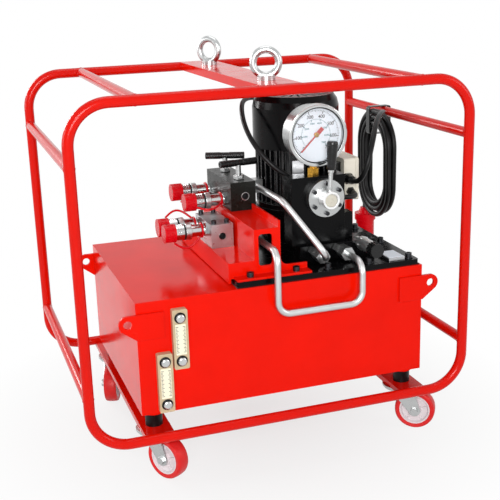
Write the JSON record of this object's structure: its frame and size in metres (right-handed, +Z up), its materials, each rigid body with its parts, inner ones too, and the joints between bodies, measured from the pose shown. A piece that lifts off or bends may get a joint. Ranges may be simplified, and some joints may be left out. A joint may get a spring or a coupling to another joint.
{
  "type": "axial piston pump",
  "caption": "Electric hydraulic power unit: vertical motor over a submerged axial piston pump, valve stack, gauge and couplers on a red tank in a castored tube cage.",
  "frame": {"origin": "floor under the middle of the cage", "axes": "+X right as seen from the front, +Y to the rear, +Z up"},
  "size_m": [0.7021, 0.506, 0.721],
  "materials": {
    "red_paint": "gloss",
    "zinc_steel": "bright zinc",
    "black_rubber": "matt",
    "cream_plastic": "satin",
    "gauge_glass": "clear",
    "black_paint": "satin",
    "dark_screw": "oiled",
    "grey_plastic": "satin",
    "black_plastic": "satin",
    "white_dial": "printed",
    "brass": "turned",
    "red_pointer": "gloss",
    "aluminium": "milled",
    "red_plastic": "moulded",
    "red_tyre": "moulded",
    "machined_steel": "machined"
  },
  "bodies": {
    "base": {"front_hoop": "red_paint", "rear_hoop": "red_paint", "cross_members": "red_paint", "lifting_bar": "red_paint", "lifting_eyes": "zinc_steel", "rubber_feet": "black_rubber", "tank_shell": "red_paint", "tie_down_ears": "red_paint", "level_gauge_frames": "cream_plastic", "level_gauge_tubes": "gauge_glass", "hex_bolts": "zinc_steel", "cover_gasket": "black_rubber", "cover_plate": "black_paint", "socket_screws": "dark_screw", "motor_bell": "black_paint", "motor_frame": "black_paint", "fan_cowl": "black_paint", "terminal_box": "grey_plastic", "cable_glands": "black_plastic", "junction_box": "grey_plastic", "port_block": "black_paint", "valve_block": "black_paint", "valve_flange": "zinc_steel", "gauge_case": "zinc_steel", "gauge_dial": "white_dial", "gauge_stem": "brass", "relief_valve_body": "zinc_steel", "pipe_fittings": "zinc_steel", "pressure_pipes": "zinc_steel", "outlet_bracket": "red_paint", "shutoff_block": "black_paint", "return_block": "aluminium", "coupler_bodies": "zinc_steel", "cap_lanyards": "red_plastic", "castor_heads": "zinc_steel", "pump_housing": "machined_steel", "pump_pistons": "machined_steel", "power_cord_lead": "black_rubber", "power_cord_hank": "black_rubber", "power_plug": "red_plastic", "cord_tie": "black_plastic", "motor_lead": "black_rubber"},
    "fork_front_left": {"castor_fork_front_left": "zinc_steel"},
    "wheel_front_left": {"castor_wheel_front_left": "red_tyre"},
    "fork_front_right": {"castor_fork_front_right": "zinc_steel"},
    "wheel_front_right": {"castor_wheel_front_right": "red_tyre"},
    "fork_rear_left": {"castor_fork_rear_left": "zinc_steel"},
    "wheel_rear_left": {"castor_wheel_rear_left": "red_tyre"},
    "fork_rear_right": {"castor_fork_rear_right": "zinc_steel"},
    "wheel_rear_right": {"castor_wheel_rear_right": "red_tyre"},
    "lever": {"valve_lever": "zinc_steel"},
    "t_handle_front": {"t_handle_front": "black_plastic"},
    "t_handle_rear": {"t_handle_rear": "black_plastic"},
    "relief_knob": {"relief_knob": "black_plastic"},
    "gauge_pointer": {"gauge_pointer": "red_pointer"},
    "motor_rotor": {"motor_rotor": "machined_steel"},
    "cap_upper_front": {"dust_cap_upper_front": "red_plastic"},
    "cap_upper_rear": {"dust_cap_upper_rear": "red_plastic"},
    "cap_lower_front": {"dust_cap_lower_front": "red_plastic"},
    "cap_lower_rear": {"dust_cap_lower_rear": "red_plastic"}
  },
  "joints": [
    {"name": "castor_swivel_front_left", "type": "hinge", "parent": "base", "child": "fork_front_left", "pos_m": [-0.224, -0.175, 0.08], "axis": [0, 0, 1], "continuous": true},
    {"name": "castor_roll_front_left", "type": "hinge", "parent": "fork_front_left", "child": "wheel_front_left", "pos_m": [-0.20657, -0.20184, 0.0375], "axis": [0.8387, 0.5446, 0], "continuous": true},
    {"name": "castor_swivel_front_right", "type": "hinge", "parent": "base", "child": "fork_front_right", "pos_m": [0.25, -0.175, 0.08], "axis": [0, 0, 1], "continuous": true},
    {"name": "castor_roll_front_right", "type": "hinge", "parent": "fork_front_right", "child": "wheel_front_right", "pos_m": [0.27653, -0.19289, 0.0375], "axis": [0.5592, 0.829, 0], "continuous": true},
    {"name": "castor_swivel_rear_left", "type": "hinge", "parent": "base", "child": "fork_rear_left", "pos_m": [-0.224, 0.175, 0.08], "axis": [0, 0, 1], "continuous": true},
    {"name": "castor_roll_rear_left", "type": "hinge", "parent": "fork_rear_left", "child": "wheel_rear_left", "pos_m": [-0.23494, 0.14493, 0.0375], "axis": [0.9397, -0.342, 0], "continuous": true},
    {"name": "castor_swivel_rear_right", "type": "hinge", "parent": "base", "child": "fork_rear_right", "pos_m": [0.25, 0.175, 0.08], "axis": [0, 0, 1], "continuous": true},
    {"name": "castor_roll_rear_right", "type": "hinge", "parent": "fork_rear_right", "child": "wheel_rear_right", "pos_m": [0.28007, 0.16406, 0.0375], "axis": [0.342, 0.9397, 0], "continuous": true},
    {"name": "valve_lever_turn", "type": "hinge", "parent": "base", "child": "lever", "pos_m": [0.12, -0.153, 0.448], "axis": [0, 1, 0], "range_deg": [-45, 45]},
    {"name": "front_shutoff_turn", "type": "hinge", "parent": "base", "child": "t_handle_front", "pos_m": [-0.001, -0.014, 0.501], "axis": [0, 0, 1], "range_deg": [0, 720]},
    {"name": "rear_shutoff_turn", "type": "hinge", "parent": "base", "child": "t_handle_rear", "pos_m": [-0.001, 0.066, 0.501], "axis": [0, 0, 1], "range_deg": [0, 720]},
    {"name": "relief_knob_turn", "type": "hinge", "parent": "base", "child": "relief_knob", "pos_m": [0.19, -0.19, 0.358], "axis": [0, 1, 0], "range_deg": [0, 1080]},
    {"name": "gauge_pointer_sweep", "type": "hinge", "parent": "base", "child": "gauge_pointer", "pos_m": [0.11, -0.124, 0.559], "axis": [0, 1, 0], "range_deg": [0, 270]},
    {"name": "motor_shaft_turn", "type": "hinge", "parent": "base", "child": "motor_rotor", "pos_m": [0.123, 0.01, 0.409], "axis": [0, 0, 1], "continuous": true},
    {"name": "dust_cap_pull_upper_front", "type": "slide", "parent": "base", "child": "cap_upper_front", "axis": [-1, 0, 0], "range_m": [0, 0.03], "deforming": ["cap_lanyards"]},
    {"name": "dust_cap_pull_upper_rear", "type": "slide", "parent": "base", "child": "cap_upper_rear", "axis": [-1, 0, 0], "range_m": [0, 0.03], "deforming": ["cap_lanyards"]},
    {"name": "dust_cap_pull_lower_front", "type": "slide", "parent": "base", "child": "cap_lower_front", "axis": [-1, 0, 0], "range_m": [0, 0.03], "deforming": ["cap_lanyards"]},
    {"name": "dust_cap_pull_lower_rear", "type": "slide", "parent": "base", "child": "cap_lower_rear", "axis": [-1, 0, 0], "range_m": [0, 0.03], "deforming": ["cap_lanyards"]}
  ]
}
